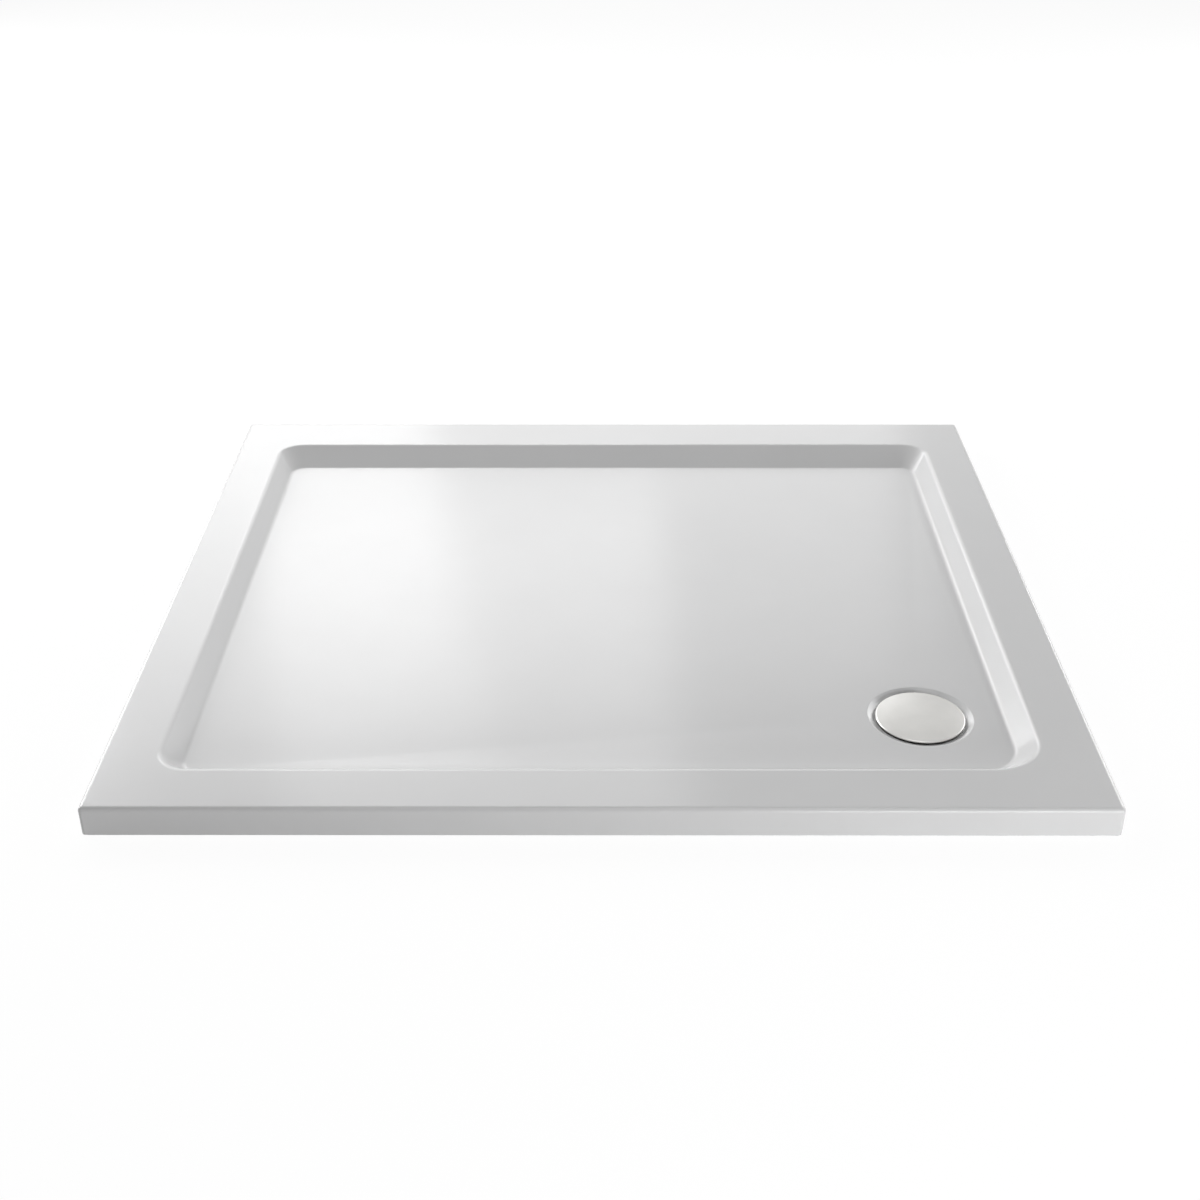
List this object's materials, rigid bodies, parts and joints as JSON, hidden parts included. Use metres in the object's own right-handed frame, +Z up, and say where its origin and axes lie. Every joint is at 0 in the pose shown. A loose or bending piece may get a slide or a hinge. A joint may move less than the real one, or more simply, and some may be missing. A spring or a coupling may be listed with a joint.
{
  "type": "shower tray",
  "caption": "Low rectangular shower tray with a sunken floor, a corner waste under a domed lift-off cover, and its strainer, dip tube, water trap and pipe outlet.",
  "frame": {"origin": "centre of the tray's flat underside", "axes": "+X to the right along the width, +Y from front to back, +Z up out of the basin"},
  "size_m": [1, 0.9, 0.1195],
  "materials": {
    "cap_acrylic": "gloss",
    "core_stone_resin": "matte",
    "cover_chrome": "polished",
    "carrier_plastic": "matte",
    "strainer_plastic": "satin",
    "dip_tube_plastic": "satin",
    "seal_rubber": "matte",
    "flange_steel": "satin",
    "screw_steel": "satin",
    "insert_brass": "satin",
    "trap_plastic": "satin",
    "slip_ring_nylon": "satin",
    "nut_plastic": "satin"
  },
  "bodies": {
    "tray": {"resin_core": "core_stone_resin", "acrylic_cap": "cap_acrylic", "waste_flange": "flange_steel", "flange_screws": "screw_steel", "upper_seal": "seal_rubber", "lower_seal": "seal_rubber", "thread_inserts": "insert_brass", "trap_lid": "trap_plastic", "trap_bowl": "trap_plastic", "outlet_socket": "trap_plastic", "outlet_cone_seal": "seal_rubber"},
    "dip_tube_body": {"dip_tube": "dip_tube_plastic", "dip_tube_o_ring": "seal_rubber"},
    "strainer": {"strainer_basket": "strainer_plastic"},
    "cover": {"waste_cover": "cover_chrome", "cover_carrier": "carrier_plastic"},
    "slip_ring": {"outlet_slip_ring": "slip_ring_nylon"},
    "nut": {"outlet_nut": "nut_plastic"}
  },
  "joints": [
    {"name": "dip_tube_lift", "type": "slide", "parent": "tray", "child": "dip_tube_body", "axis": [0, 0, 1], "range_m": [0, 0.12]},
    {"name": "strainer_lift", "type": "slide", "parent": "dip_tube_body", "child": "strainer", "axis": [0, 0, 1], "range_m": [0, 0.06]},
    {"name": "cover_lift", "type": "slide", "parent": "strainer", "child": "cover", "axis": [0, 0, 1], "range_m": [0, 0.06]},
    {"name": "slip_ring_slide", "type": "slide", "parent": "tray", "child": "slip_ring", "axis": [0, 1, 0], "range_m": [0, 0.006]},
    {"name": "nut_turn", "type": "hinge", "parent": "slip_ring", "child": "nut", "pos_m": [0.336, -0.1935, -0.03], "axis": [0, 1, 0], "range_deg": [0, 720]}
  ],
  "couplings": [
    {"joint": "slip_ring_slide", "follows": "nut_turn", "m_per_rad": 0.00047746}
  ]
}
